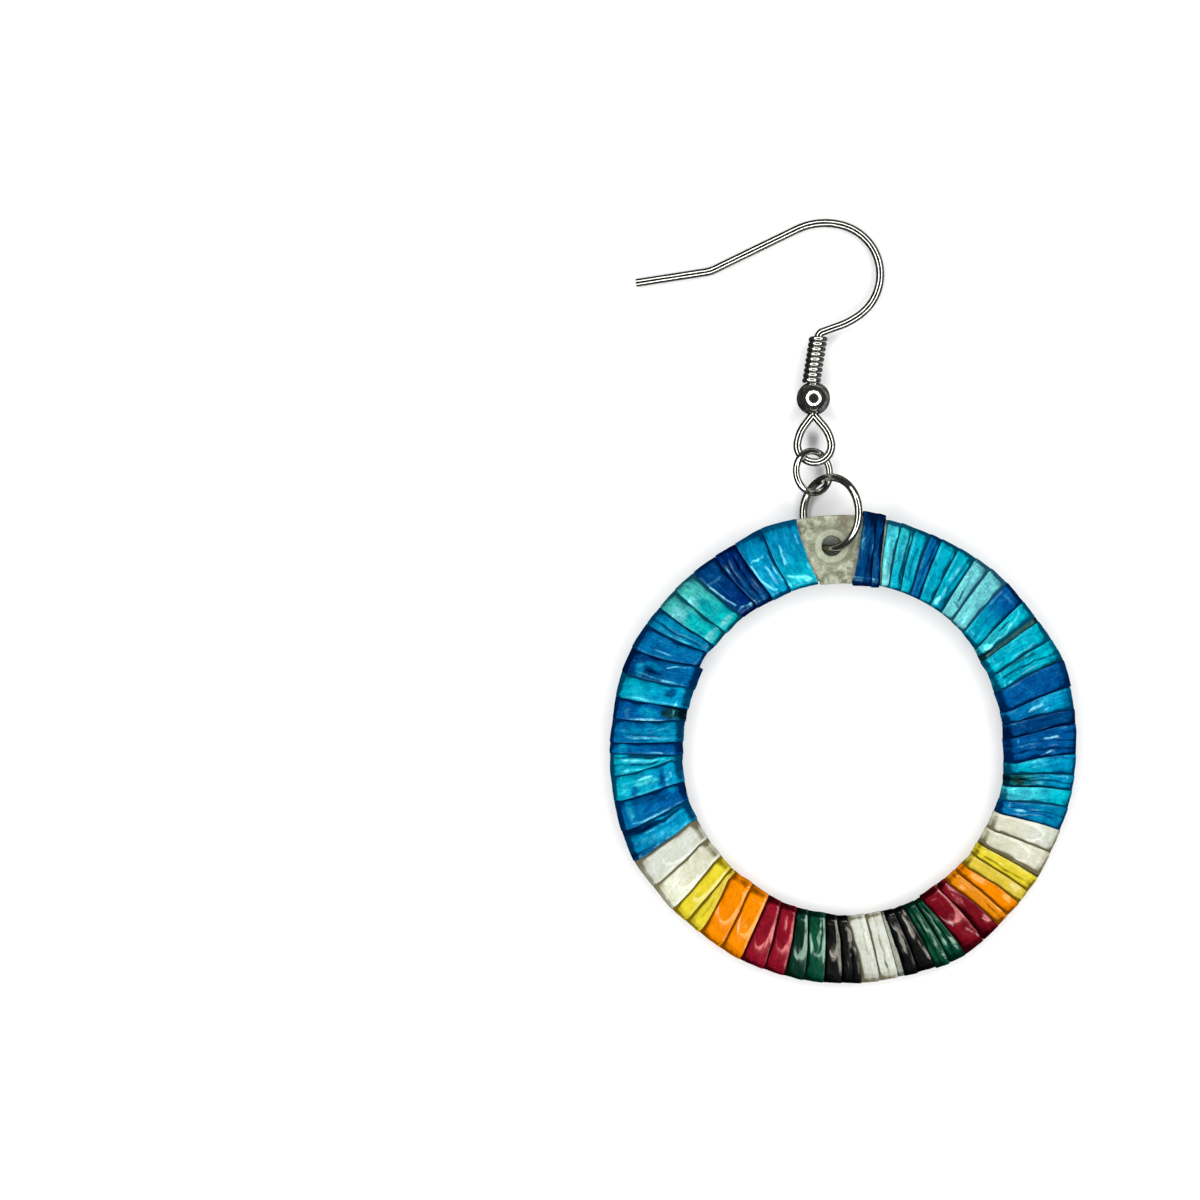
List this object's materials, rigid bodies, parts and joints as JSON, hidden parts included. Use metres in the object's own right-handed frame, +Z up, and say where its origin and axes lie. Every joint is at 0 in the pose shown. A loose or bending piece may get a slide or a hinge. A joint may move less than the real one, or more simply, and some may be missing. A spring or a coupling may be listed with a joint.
{
  "type": "quill hoop earring",
  "caption": "Rawhide hoop wrapped in dyed quills, hung by jump rings from a fish-hook ear wire with a coil and a ball, lying flat.",
  "frame": {"origin": "centre of the underside: the surface that the earring lies on is z = 0, and x = y = 0 is the middle of its outline from above", "axes": "+Y from the hoop towards the hook, +Z up out of the surface through the face of the hoop, +X to the right"},
  "size_m": [0.0409, 0.0671, 0.0049],
  "materials": {
    "rawhide": "translucent grey-white rawhide, satin",
    "ring_metal": "polished plating",
    "ear_wire_metal": "polished plating",
    "coil_metal": "polished plating",
    "ball_metal": "polished plating",
    "deep_blue_quill": "glossy dyed quill",
    "blue_quill": "glossy dyed quill",
    "turquoise_quill": "glossy dyed quill",
    "cyan_quill": "glossy dyed quill",
    "aqua_quill": "glossy dyed quill",
    "pale_aqua_quill": "glossy dyed quill",
    "white_quill": "glossy dyed quill",
    "yellow_quill": "glossy dyed quill",
    "orange_quill": "glossy dyed quill",
    "crimson_quill": "glossy dyed quill",
    "dark_green_quill": "glossy dyed quill",
    "black_quill": "glossy dyed quill"
  },
  "bodies": {
    "root": {"hide": "rawhide", "hoop_ring": "ring_metal", "link_ring": "ring_metal", "ear_wire": "ear_wire_metal", "wire_coil": "coil_metal", "ball": "ball_metal", "quill_1_deep_blue": "deep_blue_quill", "quill_2_aqua": "aqua_quill", "quill_3_turquoise": "turquoise_quill", "quill_4_blue": "blue_quill", "quill_5_turquoise": "turquoise_quill", "quill_6_pale_aqua": "pale_aqua_quill", "quill_7_blue": "blue_quill", "quill_8_turquoise": "turquoise_quill", "quill_9_cyan": "cyan_quill", "quill_10_blue": "blue_quill", "quill_11_deep_blue": "deep_blue_quill", "quill_12_blue": "blue_quill", "quill_13_turquoise": "turquoise_quill", "quill_14_blue": "blue_quill", "quill_15_white": "white_quill", "quill_16_yellow": "yellow_quill", "quill_17_orange": "orange_quill", "quill_18_crimson": "crimson_quill", "quill_19_dark_green": "dark_green_quill", "quill_20_black": "black_quill", "quill_21_white": "white_quill", "quill_22_black": "black_quill", "quill_23_dark_green": "dark_green_quill", "quill_24_crimson": "crimson_quill", "quill_25_orange": "orange_quill", "quill_26_yellow": "yellow_quill", "quill_27_white": "white_quill", "quill_28_blue": "blue_quill", "quill_29_turquoise": "turquoise_quill", "quill_30_blue": "blue_quill", "quill_31_turquoise": "turquoise_quill", "quill_32_blue": "blue_quill", "quill_33_turquoise": "turquoise_quill", "quill_34_aqua": "aqua_quill", "quill_35_deep_blue": "deep_blue_quill", "quill_36_turquoise": "turquoise_quill"}
  },
  "joints": []
}
